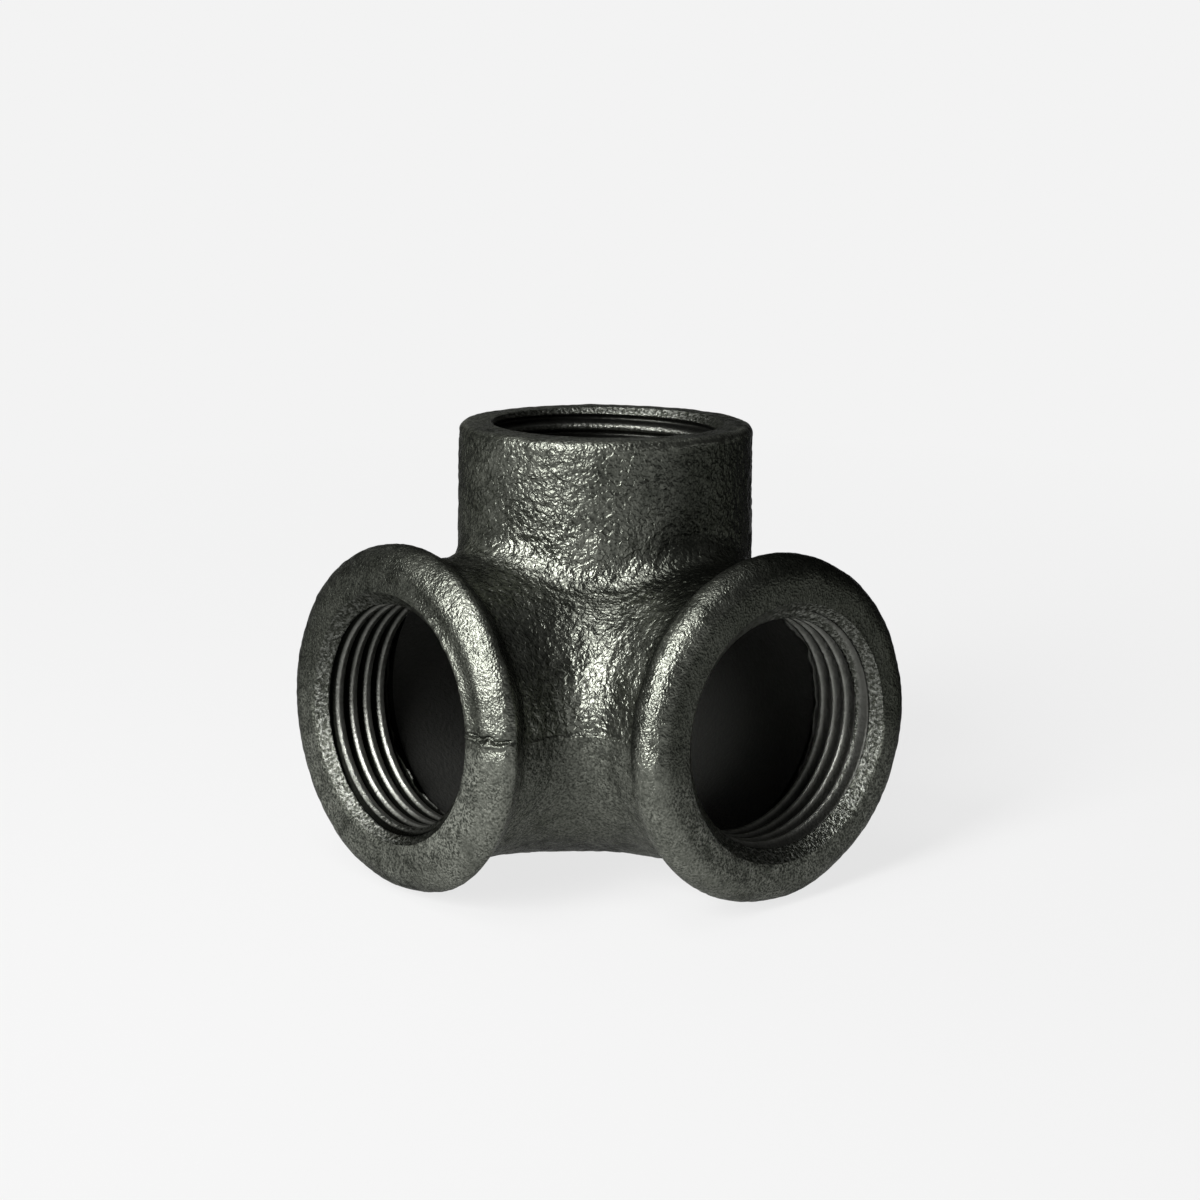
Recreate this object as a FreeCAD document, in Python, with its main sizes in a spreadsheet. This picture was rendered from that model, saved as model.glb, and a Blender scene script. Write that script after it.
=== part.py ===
import FreeCAD, Part
import math
import os
import Sketcher

# A three-way corner fitting for threaded tube, cast in iron in one piece.
# Its three mouths face +X, -Y and +Z, and their axes cross at the origin.
# The two level sockets have a rolled bead at the mouth, and the upright one is a plain collar.
# All sizes are in millimetres.

SIZES = {
    # Machined inside
    "thread_bore_radius": 15.15,  # crests of the pipe thread
    "thread_length": 11.0,        # from a face to the end of its thread
    "right_chamfer": 2.45,        # 45 degree chamfer at the +X mouth
    "left_chamfer": 1.95,         # the same at the -Y mouth
    "collar_chamfer": 1.15,       # the same at the +Z mouth
    # Cored inside, as cast
    "core_relief": 2.05,          # the passage's wall stands this far back from the thread's crests
    "core_step": 1.6,             # length of the cone between a thread and its passage
    # Outside of the elbow and its beaded sockets
    "wall": 3.4,                  # iron round a passage
    "throat_radius": 5.9,         # inner curve of the elbow's bend, in plan
    "socket_straight": 11.5,      # from the end of the bend to the face of a socket
    "bead_height": 2.9,           # crest of the rolled bead above the elbow's tube
    "bead_front_round": 3.6,      # rounding from the face to the crest
    "bead_back_round": 2.4,       # rounding behind the crest
    "bead_root_round": 2.8,       # hollow where the bead runs out into the tube
    # Outside of the plain collar
    "collar_straight": 16.7,      # from the top of the elbow's tube to the collar's face
    "collar_step": 0.2,           # how much slimmer the collar is than the tube, at its top edge
    "collar_edge_round": 1.1,     # rounding of that edge
    "collar_draft": 0.6,          # degrees by which the collar widens downwards, to leave the mould
    # Where the three tubes meet
    "heel_swell": 0.6,            # the heel's ball stands out this far from the tube and passages
    "corner_blend": 4.0,          # hollow rounding between the collar, the elbow and the heel
}

# Sizes that add up from these, as formulas of the sheet
PASSAGE_RADIUS = "(Sizes.thread_bore_radius + Sizes.core_relief)"
CHAMBER_RADIUS = f"({PASSAGE_RADIUS} + Sizes.heel_swell)"
TUBE_RADIUS = f"({PASSAGE_RADIUS} + Sizes.wall)"
HEEL_RADIUS = f"({TUBE_RADIUS} + Sizes.heel_swell)"
BEND_RADIUS = f"({TUBE_RADIUS} + Sizes.throat_radius)"
SOCKET_REACH = f"({BEND_RADIUS} + Sizes.socket_straight)"
BEAD_RADIUS = f"({TUBE_RADIUS} + Sizes.bead_height)"
COLLAR_RADIUS = f"({TUBE_RADIUS} - Sizes.collar_step)"
COLLAR_REACH = f"({TUBE_RADIUS} + Sizes.collar_straight)"

doc = FreeCAD.newDocument("corner_fitting_model")
sheet = doc.addObject("Spreadsheet::Sheet", "Sizes")
for row, (alias, number) in enumerate(SIZES.items(), start=1):
    sheet.set(f"A{row}", alias)
    sheet.set(f"B{row}", str(number))
    sheet.setAlias(f"B{row}", alias)
doc.recompute()

body = doc.addObject("PartDesign::Body", "Casting")
body.Label = "corner_fitting"
body.Placement = FreeCAD.Placement()

# Names of a sketch edge's points, and of the sketch's own two axes, in the sketcher's order
POINTS = ("whole", "start", "end", "centre")
AXES = ("none", "across", "upright")
CROSSING = ("across", "start")


def size(formula):
    """The number that a formula of the sheet's sizes gives."""
    return FreeCAD.Units.Quantity(sheet.evalExpression(formula)).Value


def origin_feature(role):
    """The plane or axis of the casting's own origin that has this role."""
    return next(item for item in body.Origin.OriginFeatures if item.Role == role)


def new_sketch(name, plane="XZ_Plane"):
    """An empty sketch on one of the casting's own planes.

    The usual one is the upright plane y = 0, with +X to its right and +Z up.
    """
    sketch = body.newObject("Sketcher::SketchObject", name)
    sketch.AttachmentSupport = [(origin_feature(plane), "")]
    sketch.MapMode = "FlatFace"
    return sketch


def line(sketch, start, end):
    """A straight edge between two points of the sketch."""
    edge = Part.LineSegment(FreeCAD.Vector(*start, 0), FreeCAD.Vector(*end, 0))
    return sketch.addGeometry(edge, False)


def arc(sketch, centre, radius, first, last):
    """An arc that runs anticlockwise between two angles in degrees."""
    circle = Part.Circle(FreeCAD.Vector(*centre, 0), FreeCAD.Vector(0, 0, 1), radius)
    edge = Part.ArcOfCircle(circle, math.radians(first), math.radians(last))
    return sketch.addGeometry(edge, False)


def counted(place):
    """A place in a sketch as the sketcher counts it: edges go by number, the rest by name."""
    if place in AXES:
        return -AXES.index(place)
    return POINTS.index(place) if place in POINTS else place


def rule(sketch, kind, *places):
    """A sketch rule that has no size, such as Horizontal or Tangent."""
    sketch.addConstraint(Sketcher.Constraint(kind, *map(counted, places)))


def dimension(sketch, kind, formula, *places):
    """A sketch dimension that follows a formula of the sheet's sizes, in mm or degrees."""
    value = math.radians(size(formula)) if kind == "Angle" else size(formula)
    number = sketch.addConstraint(Sketcher.Constraint(kind, *map(counted, places), value))
    sketch.setExpression(f"Constraints[{number}]", formula)


def finish_sketch(sketch):
    """Solve the sketch and stop if anything in it is still free."""
    doc.recompute()
    if sketch.solve() != 0 or not sketch.FullyConstrained:
        raise RuntimeError(f"{sketch.Name} is not fully constrained")


def turn(kind, name, sketch, axis):
    """Turn a sketch all the way round one of the casting's axes, to add or to cut."""
    feature = body.newObject(f"PartDesign::{kind}", name)
    feature.Profile = sketch
    feature.ReferenceAxis = (origin_feature(axis), [""])
    feature.Angle = 360
    doc.recompute()
    return feature


def repeat_to_second_socket(name, original):
    """Repeat a socket's feature a quarter turn round, from +X to -Y."""
    pattern = body.newObject("PartDesign::PolarPattern", name)
    pattern.Originals = [original]
    pattern.Axis = (origin_feature("Z_Axis"), [""])
    pattern.Angle = 90
    pattern.Occurrences = 2
    pattern.Reversed = True
    body.Tip = pattern
    doc.recompute()


# Collar and heel: the ball of the heel below and the drafted collar above, turned about Z
heel = size(HEEL_RADIUS)
collar = size(COLLAR_RADIUS)
collar_top = size(COLLAR_REACH)
collar_round = size("Sizes.collar_edge_round")
collar_flat = collar - collar_round
draft = math.radians(size("Sizes.collar_draft"))
foot_radius = collar + collar_top * math.tan(draft)
foot_angle = math.acos(foot_radius / heel)

profile = new_sketch("CollarAndHeelProfile")
ball = arc(profile, (0, 0), heel, -90, math.degrees(foot_angle))
side = line(profile, (foot_radius, heel * math.sin(foot_angle)), (collar, collar_top - collar_round))
lip = arc(profile, (collar_flat, collar_top - collar_round), collar_round, 0, 90)
face = line(profile, (collar_flat, collar_top), (0, collar_top))
core = line(profile, (0, collar_top), (0, -heel))
rule(profile, "Coincident", ball, "centre", *CROSSING)
rule(profile, "Coincident", ball, "end", side, "start")
rule(profile, "Tangent", side, "end", lip, "start")
rule(profile, "Tangent", lip, "end", face, "start")
rule(profile, "Coincident", face, "end", core, "start")
rule(profile, "Coincident", core, "end", ball, "start")
rule(profile, "Horizontal", face)
rule(profile, "PointOnObject", core, "start", "upright")
rule(profile, "PointOnObject", core, "end", "upright")
dimension(profile, "Radius", HEEL_RADIUS, ball)
dimension(profile, "Radius", "Sizes.collar_edge_round", lip)
dimension(profile, "DistanceY", COLLAR_REACH, *CROSSING, face, "start")
dimension(profile, "DistanceX", f"{COLLAR_RADIUS} - Sizes.collar_edge_round",
          *CROSSING, lip, "centre")
dimension(profile, "Angle", "90 + Sizes.collar_draft", "across", side)
finish_sketch(profile)
turn("Revolution", "CollarAndHeel", profile, "Z_Axis")

# Beaded socket: tube, hollow root, rolled bead and flat face, turned about X
reach = size(SOCKET_REACH)
tube = size(TUBE_RADIUS)
bead = size(BEAD_RADIUS)
front = size("Sizes.bead_front_round")
back = size("Sizes.bead_back_round")
root = size("Sizes.bead_root_round")
crest_x = reach - front
flank_angle = math.degrees(math.acos(1 - (bead - tube) / (back + root)))
root_x = crest_x - (back + root) * math.sin(math.radians(flank_angle))

profile = new_sketch("SocketProfile")
middle = line(profile, (0, 0), (reach, 0))
face = line(profile, (reach, 0), (reach, bead - front))
bead_front = arc(profile, (crest_x, bead - front), front, 0, 90)
bead_back = arc(profile, (crest_x, bead - back), back, 90, 90 + flank_angle)
bead_root = arc(profile, (root_x, tube + root), root, 270, 270 + flank_angle)
side = line(profile, (root_x, tube), (0, tube))
hub = line(profile, (0, tube), (0, 0))
rule(profile, "Coincident", middle, "start", *CROSSING)
rule(profile, "Coincident", middle, "end", face, "start")
rule(profile, "Tangent", face, "end", bead_front, "start")
rule(profile, "Tangent", bead_front, "end", bead_back, "start")
rule(profile, "Tangent", bead_back, "end", bead_root, "end")
rule(profile, "Tangent", bead_root, "start", side, "start")
rule(profile, "Coincident", side, "end", hub, "start")
rule(profile, "Coincident", hub, "end", *CROSSING)
rule(profile, "Horizontal", middle)
rule(profile, "Vertical", face)
rule(profile, "Vertical", bead_front, "centre", bead_front, "end")
rule(profile, "Horizontal", side)
rule(profile, "Vertical", hub)
dimension(profile, "DistanceX", SOCKET_REACH, *CROSSING, face, "start")
dimension(profile, "DistanceY", BEAD_RADIUS, *CROSSING, bead_front, "end")
dimension(profile, "DistanceY", TUBE_RADIUS, *CROSSING, side, "start")
dimension(profile, "Radius", "Sizes.bead_front_round", bead_front)
dimension(profile, "Radius", "Sizes.bead_back_round", bead_back)
dimension(profile, "Radius", "Sizes.bead_root_round", bead_root)
finish_sketch(profile)
socket = turn("Revolution", "Socket", profile, "X_Axis")
repeat_to_second_socket("BothSockets", socket)

# Web of the elbow: in plan, the corner between the two bore axes and the bend's middle line
bend = size(BEND_RADIUS)

profile = new_sketch("WebPlan", "XY_Plane")
along_x = line(profile, (0, 0), (bend, 0))
along_y = line(profile, (0, -bend), (0, 0))
middle_line = arc(profile, (bend, -bend), bend, 90, 180)
rule(profile, "Coincident", along_x, "start", *CROSSING)
rule(profile, "Coincident", along_y, "end", *CROSSING)
rule(profile, "Coincident", along_x, "end", middle_line, "start")
rule(profile, "Coincident", along_y, "start", middle_line, "end")
rule(profile, "Horizontal", along_x)
rule(profile, "Vertical", along_y)
rule(profile, "Vertical", middle_line, "start", middle_line, "centre")
rule(profile, "Horizontal", middle_line, "end", middle_line, "centre")
dimension(profile, "Radius", BEND_RADIUS, middle_line)
finish_sketch(profile)
web = body.newObject("PartDesign::Pad", "Web")
web.Profile = profile
web.Midplane = True
web.setExpression("Length", f"2 * {TUBE_RADIUS}")
doc.recompute()

# Throat of the elbow: the inner half of the tube, carried a quarter turn round the bend
profile = new_sketch("ThroatSection", "YZ_Plane")
profile.setExpression("AttachmentOffset.Base.z", BEND_RADIUS)
inner_half = arc(profile, (0, 0), tube, 90, 270)
cut = line(profile, (0, -tube), (0, tube))
pivot = line(profile, (-bend, -tube), (-bend, tube))
profile.setConstruction(pivot, True)
rule(profile, "Coincident", inner_half, "centre", *CROSSING)
rule(profile, "Coincident", inner_half, "end", cut, "start")
rule(profile, "Coincident", cut, "end", inner_half, "start")
rule(profile, "Vertical", cut)
rule(profile, "PointOnObject", cut, "start", "upright")
rule(profile, "Symmetric", pivot, "start", pivot, "end", "across")
dimension(profile, "Radius", TUBE_RADIUS, inner_half)
dimension(profile, "DistanceX", BEND_RADIUS, pivot, "start", *CROSSING)
dimension(profile, "DistanceY", f"2 * {TUBE_RADIUS}", pivot, "start", pivot, "end")
finish_sketch(profile)
throat = body.newObject("PartDesign::Revolution", "Throat")
throat.Profile = profile
throat.ReferenceAxis = (profile, ["Axis0"])
throat.Angle = 90
doc.recompute()


def crease_angle(shape, edge):
    """Degrees by which the surface turns at the middle of an edge, or 0 on a seam or a pole."""
    faces = shape.ancestorsOfType(edge, Part.Face)
    if edge.Degenerated or len(faces) < 2:
        return 0.0
    point = edge.valueAt((edge.FirstParameter + edge.LastParameter) / 2)
    first, second = (item.normalAt(*item.Surface.parameter(point)) for item in faces)
    return math.degrees(first.getAngle(second))


# Corner blends: the bead profiles are smooth, so each crease left is the collar or the heel
# meeting the elbow
SMOOTH_BELOW = 3.0  # degrees
creases = [f"Edge{number}" for number, edge in enumerate(throat.Shape.Edges, start=1)
           if crease_angle(throat.Shape, edge) > SMOOTH_BELOW]
blends = body.newObject("PartDesign::Fillet", "CornerBlends")
blends.Base = (throat, creases)
blends.setExpression("Radius", "Sizes.corner_blend")
doc.recompute()
print(f"{blends.Name}: {len(creases)} edges")


def bore_profile(name, reach_formula, upright):
    """Half section of a bore, from the crossing point out to the face.

    It is the cored passage, a cone and the thread's bore.
    Its axis is the sketch's upright axis or the one across.
    """
    end = size(reach_formula)
    bore = size("Sizes.thread_bore_radius")
    passage = size(PASSAGE_RADIUS)
    thread_end = end - size("Sizes.thread_length")
    step_start = thread_end - size("Sizes.core_step")
    corners = [(0, 0), (0, passage), (step_start, passage), (thread_end, bore),
               (end, bore), (end, 0)]
    if upright:
        corners = [(across, along) for along, across in corners]
    outline = new_sketch(name)
    edges = [line(outline, first, second)
             for first, second in zip(corners, corners[1:] + corners[:1])]
    for first, second in zip(edges, edges[1:] + edges[:1]):
        rule(outline, "Coincident", first, "end", second, "start")
    hub, wall, step, thread, opening, middle = edges
    along, across = ("DistanceY", "DistanceX") if upright else ("DistanceX", "DistanceY")
    level, square = ("Vertical", "Horizontal") if upright else ("Horizontal", "Vertical")
    rule(outline, "Coincident", hub, "start", *CROSSING)
    rule(outline, square, hub)
    rule(outline, level, wall)
    rule(outline, level, thread)
    rule(outline, square, opening)
    rule(outline, level, middle)
    dimension(outline, across, PASSAGE_RADIUS, *CROSSING, wall, "start")
    dimension(outline, across, "Sizes.thread_bore_radius", *CROSSING, thread, "start")
    dimension(outline, along, reach_formula, *CROSSING, opening, "start")
    dimension(outline, along, f"{reach_formula} - Sizes.thread_length",
              *CROSSING, thread, "start")
    dimension(outline, along, "Sizes.core_step", step, "start", step, "end")
    finish_sketch(outline)
    return outline


# Bores: one turned about X and repeated on -Y, the other turned about Z
socket_bore = turn("Groove", "SocketBore",
                   bore_profile("SocketBoreProfile", SOCKET_REACH, upright=False), "X_Axis")
repeat_to_second_socket("BothSocketBores", socket_bore)
turn("Groove", "CollarBore",
     bore_profile("CollarBoreProfile", COLLAR_REACH, upright=True), "Z_Axis")

# Chamber: the ball where the three passages meet, inside the heel
chamber = body.newObject("PartDesign::SubtractiveSphere", "Chamber")
chamber.setExpression("Radius", CHAMBER_RADIUS)
body.Tip = chamber
doc.recompute()

# Mouth chamfers at 45 degrees, each cut on the rim where its bore meets the face
CLOSE = 0.001  # millimetres
rim_length = 2 * math.pi * size("Sizes.thread_bore_radius")
mouths = {
    "RightMouth": (FreeCAD.Vector(reach, 0, 0), "Sizes.right_chamfer"),
    "LeftMouth": (FreeCAD.Vector(0, -reach, 0), "Sizes.left_chamfer"),
    "CollarMouth": (FreeCAD.Vector(0, 0, collar_top), "Sizes.collar_chamfer"),
}
before = chamber
for name, (centre, formula) in mouths.items():
    rims = [f"Edge{number}" for number, edge in enumerate(before.Shape.Edges, start=1)
            if not edge.Degenerated and edge.CenterOfMass.isEqual(centre, CLOSE)
            and abs(edge.Length - rim_length) < CLOSE]
    chamfer = body.newObject("PartDesign::Chamfer", name)
    chamfer.Base = (before, rims)
    chamfer.setExpression("Size", formula)
    doc.recompute()
    print(f"{name}: {len(rims)} rim")
    before = chamfer

# Every object is checked before anything is written
for item in doc.Objects:
    if "Invalid" in item.State or "Error" in item.State:
        raise RuntimeError(f"{item.Name} failed: {item.State}")
solid = body.Shape
if solid.isNull() or not solid.isValid() or len(solid.Solids) != 1:
    raise RuntimeError("the casting is not one valid solid")

os.makedirs("parts", exist_ok=True)
solid.exportStep(f"parts/{body.Label}.step")
print(f"{body.Label}: {solid.Volume:.0f} mm3")
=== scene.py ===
# %% [markdown]
# # A three-way corner fitting in black malleable iron
# The fitting joins three threaded tubes at right angles. It is one casting: two beaded sockets
# lie level, a plain collar stands upright, and the bore axes cross at the origin.
# The solid from the CAD frame gives every size here. This lesson builds the same surfaces again,
# finer, so that they can carry the cast skin, the mould's parting line and the cut threads.

import itertools

import bmesh
import bpy
import numpy as np
from mathutils import Matrix, Vector


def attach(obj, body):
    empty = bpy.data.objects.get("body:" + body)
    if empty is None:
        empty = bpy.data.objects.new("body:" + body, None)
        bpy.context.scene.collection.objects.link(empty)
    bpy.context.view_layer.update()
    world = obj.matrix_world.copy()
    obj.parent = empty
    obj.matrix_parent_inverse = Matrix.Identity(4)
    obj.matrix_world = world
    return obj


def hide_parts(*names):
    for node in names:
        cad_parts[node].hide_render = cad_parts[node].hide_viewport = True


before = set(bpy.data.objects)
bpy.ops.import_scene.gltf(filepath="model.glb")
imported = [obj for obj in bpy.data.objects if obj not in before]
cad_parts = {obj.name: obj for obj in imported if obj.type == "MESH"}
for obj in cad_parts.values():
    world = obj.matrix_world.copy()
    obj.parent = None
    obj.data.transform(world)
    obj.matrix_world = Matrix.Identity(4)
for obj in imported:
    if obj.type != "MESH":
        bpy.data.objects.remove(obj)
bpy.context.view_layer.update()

# %% [markdown]
# ## Sizes
# The casting's sizes are written again in millimetres, because a scene can't read the part's
# source. Every point is worked out in millimetres and becomes metres only when a mesh is made.

# %% Sizes of the casting
MM = 0.001

BORE = 15.15                # crests of the thread
PASSAGE = 17.2              # cored passage behind a thread
CHAMBER = 17.8              # ball where the passages meet
TUBE = 20.6                 # outside of the elbow
HEEL = 21.2                 # ball of the heel
BEND = 26.5                 # middle line of the elbow's bend, in plan
REACH = 38.0                # crossing point to the face of a level socket
BEAD = 23.5                 # crest of a bead
BEAD_FRONT = 3.6            # rounding from the face to the crest
BEAD_BACK = 2.4             # rounding behind the crest
BEAD_ROOT = 2.8             # hollow where the bead runs out
COLLAR = 20.4               # outside of the collar at its top
COLLAR_REACH = 37.3         # crossing point to the collar's face
COLLAR_ROUND = 1.1          # rounding of the collar's edge
DRAFT = np.radians(0.6)     # the collar widens downwards by this angle
BLEND = 4.0                 # hollow rounding where collar and elbow meet
print("the level faces and the collar's face stand off by, mm:", REACH, COLLAR_REACH)

# %% [markdown]
# ## The camera
# The three round rims of the photo fix the camera: its angles, distance and focal length were
# solved from them. A long lens of about 90 mm stands 43 cm away, 12 degrees above the fitting.
# The rotation is built from plain vectors, so each step can be checked against the photo.

# %% Camera
PHOTO = 1200                        # pixels on a side
FOCAL = 3010.1                      # pixels
AZIMUTH = np.radians(49.885)        # from -Y towards +X
ELEVATION = np.radians(12.466)
DISTANCE = 427.04                   # millimetres to the crossing point
ROLL = np.radians(0.545)
SENSOR = 36                         # millimetres, a film frame's width
NEAREST = 0.01                      # metres, where the camera's view begins
CROSSING_AT = (603.29, 683.39)      # pixel on which the crossing point falls


def unit(vector):
    """A vector divided by its length."""
    return vector / np.linalg.norm(vector, axis=-1, keepdims=True)


def camera_axes():
    """Place of the camera, and its right, down and forward axes as rows.

    The camera first looks at the crossing point, then rolls, then swings so that this point
    moves from the middle of the picture to its pixel.
    """
    back = np.array([np.sin(AZIMUTH) * np.cos(ELEVATION),
                     -np.cos(AZIMUTH) * np.cos(ELEVATION), np.sin(ELEVATION)])
    right = unit(np.cross(-back, [0, 0, 1]))
    down = np.cross(-back, right)
    roll = np.array([[np.cos(ROLL), -np.sin(ROLL), 0],
                     [np.sin(ROLL), np.cos(ROLL), 0], [0, 0, 1]])
    offset = (np.array(CROSSING_AT) - PHOTO / 2) / FOCAL
    swing = np.array(Vector((0, 0, 1)).rotation_difference(
        Vector((*offset, 1)).normalized()).to_matrix())
    return back * DISTANCE, swing @ roll @ np.array([right, down, -back])


place, axes = camera_axes()
camera = bpy.data.objects.new("camera", bpy.data.cameras.new("camera"))
bpy.context.scene.collection.objects.link(camera)
camera.matrix_world = Matrix.Translation(Vector(place * MM)) @ Matrix(
    np.array([axes[0], -axes[1], -axes[2]]).T.tolist()).to_4x4()
camera.data.sensor_width = SENSOR
camera.data.lens = SENSOR * FOCAL / PHOTO
camera.data.clip_start = NEAREST
bpy.context.scene.camera = camera
print("camera at, mm:", np.round(place, 1), "lens, mm:", round(camera.data.lens, 1))

# %% [markdown]
# ## From a grid of points to a mesh
# Each surface is a grid of points: one direction goes round, the other goes along. Whole arrays
# give the corners of all the quads at once. Doubles are then merged, which closes the seams.


# %% Grid helpers
ONE_POINT = 2e-6        # metres; points nearer than this are merged
NO_LENGTH = 1e-7        # metres; edges shorter than this are taken out


def quads(rings, steps, closed):
    """Corner numbers of a grid's quads; a closed grid also joins its last ring to its first."""
    ring, step = np.meshgrid(np.arange(rings if closed else rings - 1), np.arange(steps - 1),
                             indexing="ij")
    after = (ring + 1) % rings
    return np.stack([ring * steps + step, after * steps + step,
                     after * steps + step + 1, ring * steps + step + 1], -1).reshape(-1, 4)


def make_piece(name, grids, inward=False, closed=True):
    """A mesh object from grids of points in millimetres, shaped (rings, steps, 3).

    The grids are put in one mesh, points that fall together are merged, and the faces are
    turned the same way: outwards, or towards the bore for a surface seen from inside.
    """
    points = np.concatenate([grid.reshape(-1, 3) for grid in grids]) * MM
    starts = np.cumsum([0] + [grid[..., 0].size for grid in grids[:-1]])
    faces = np.concatenate([quads(*grid.shape[:2], closed) + start
                            for grid, start in zip(grids, starts)])
    mesh = bpy.data.meshes.new(name)
    mesh.from_pydata(points, [], faces.tolist())
    work = bmesh.new()
    work.from_mesh(mesh)
    bmesh.ops.remove_doubles(work, verts=work.verts, dist=ONE_POINT)
    bmesh.ops.dissolve_degenerate(work, edges=work.edges, dist=NO_LENGTH)
    bmesh.ops.recalc_face_normals(work, faces=work.faces)
    if (work.calc_volume(signed=True) < 0) != inward:
        bmesh.ops.reverse_faces(work, faces=work.faces)
    work.to_mesh(mesh)
    work.free()
    mesh.shade_smooth()
    piece = bpy.data.objects.new(name, mesh)
    bpy.context.scene.collection.objects.link(piece)
    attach(piece, "root")
    triangles = sum(len(face.vertices) - 2 for face in mesh.polygons)
    print(f"{name}: {triangles} triangles")
    return piece


# %% [markdown]
# ## The outer form as a distance
# The casting's outside is easiest to write as a function that says how far a point is from the
# surface: negative inside the iron, positive outside. The level elbow is everything within one
# tube radius of a flat figure, the two bore axes with the web between them. The collar is a
# slim cone and the heel a ball. Where the collar grows out of the elbow, a hollow rounding joins
# them, and it fades where the two already run alongside each other.


# %% Distance functions
def level_elbow(u, v, w):
    """Distance to the elbow: the plan's distance to axes and web, then a tube round them."""
    along_u = np.where(u >= 0, np.abs(v), np.hypot(u, v))
    along_v = np.where(v >= 0, np.abs(u), np.hypot(u, v))
    from_centre = np.hypot(u - BEND, v - BEND)
    in_corner = (u >= 0) & (v >= 0) & (u <= BEND) & (v <= BEND)
    web = np.where(in_corner, np.maximum(BEND - from_centre, 0), np.inf)
    return np.hypot(np.minimum(np.minimum(along_u, along_v), web), w) - TUBE


def collar_cone(u, v, w):
    """Distance to the drafted collar: its radius grows downwards with the draft."""
    radius = COLLAR + (COLLAR_REACH - COLLAR_ROUND - w) * np.tan(DRAFT)
    return np.where(w >= 0, (np.hypot(u, v) - radius) * np.cos(DRAFT), np.inf)


def slope(function, points, step=0.01):
    """Direction in which a distance function grows fastest, by differences across each axis."""
    columns = []
    for axis in np.eye(3) * step:
        ahead, behind = points + axis, points - axis
        columns.append(function(*np.moveaxis(ahead, -1, 0)) - function(*np.moveaxis(behind, -1, 0)))
    return unit(np.nan_to_num(np.stack(columns, -1)) + 1e-12)


def outer_form(u, v, w):
    """Distance to the outside of the casting.

    The hollow between collar and elbow is a rolling ball's: where both are nearer than its
    radius, the two distances to that radius are combined as the sides of a right triangle.
    The radius shrinks with the cosine of the angle between the two surfaces, and it is nought
    below the collar.
    """
    elbow = level_elbow(u, v, w)
    collar = collar_cone(u, v, w)
    points = np.stack([u, v, w], -1)
    alike = (slope(level_elbow, points) * slope(collar_cone, points)).sum(-1)
    ball = np.where(w > 1, BLEND * (1 - np.clip(alike, 0, 1)), 0.0) + 1e-6
    joined = np.maximum(ball, np.minimum(elbow, collar)) - np.hypot(
        np.maximum(ball - elbow, 0), np.maximum(ball - collar, 0))
    heel = np.sqrt(u ** 2 + v ** 2 + w ** 2) - HEEL
    return np.minimum(joined, heel)


def halve(function, low, high, rounds=30):
    """Where a rising function of each entry crosses nought, by halving whole arrays."""
    for _ in range(rounds):
        middle = (low + high) / 2
        outside = function(middle) > 0
        high = np.where(outside, middle, high)
        low = np.where(outside, low, middle)
    return (low + high) / 2


# %% [markdown]
# ## Three legs that share their edges
# Space is shared out between the three bores: a point belongs to the leg whose axis it is
# furthest along. Each leg is then a grid round its own axis, from the mouth back to the planes
# where it meets its neighbours. Grid lines start at 45 degrees, so the lines of two legs end in
# the same points, and merging doubles makes one skin of them.

# %% Legs
RINGS = 360
FACE_STEPS = 8


def crowded_turn():
    """Angles of a level leg's grid lines, from 45 degrees back through 0 and on round.

    Where the two level legs share their lines, the lines crowd together at the parting line,
    four times as close as elsewhere. The share of lines up to an angle is summed from their
    density and then read backwards.
    """
    angle = np.linspace(-135, 45, 2001)
    share = np.cumsum(1 + 3 * np.exp(-(angle / 8) ** 2))
    share = (share - share[0]) / (share[-1] - share[0])
    shared = np.interp(np.linspace(0, 1, RINGS // 2 + 1)[:-1], share, angle)
    return np.radians(np.concatenate([shared, 45 + 180 * np.arange(RINGS // 2) / (RINGS // 2)]))


EVEN = np.radians(-135) + 2 * np.pi * np.arange(RINGS) / RINGS
TURN = {"right": crowded_turn(), "left": crowded_turn(), "collar": EVEN}
# Each bore was cut a little off the middle of its socket, as the photo's rims show
MOUTHS = {"right": {"radius": 17.6, "offset": (-0.24, -0.26), "reach": REACH},
          "left": {"radius": 17.1, "offset": (0.36, 0.29), "reach": REACH},
          "collar": {"radius": 16.3, "offset": (-0.08, -0.44), "reach": COLLAR_REACH}}
# How a leg's own coordinates (along, across, across) are read as u, v, w
LEGS = {"right": (0, 1, 2), "left": (1, 0, 2), "collar": (2, 0, 1)}


def to_uvw(leg, along, first, second):
    """A leg's own coordinates put in the order u, v, w."""
    parts = [None] * 3
    for place_in_order, values in zip(LEGS[leg], (along, first, second)):
        parts[place_in_order] = values
    return np.stack(np.broadcast_arrays(*parts), -1)


def to_xyz(points):
    """u, v, w become x, y, z: v runs along -Y."""
    return points * np.array([1, -1, 1])


def arc_points(centre, radius, first, last, count):
    """An arc of a profile by equal angles: (along, radius) and the normal, as rows of four.

    The first point is left out. A hollow arc has a negative radius, so that its normal, which
    points from the arc to its centre, still points out of the iron.
    """
    angle = np.radians(np.linspace(first, last, count + 1)[1:])
    out = np.stack([np.cos(angle), np.sin(angle)], -1)
    return np.concatenate([np.array(centre) + abs(radius) * out, np.sign(radius) * out], -1)


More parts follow.
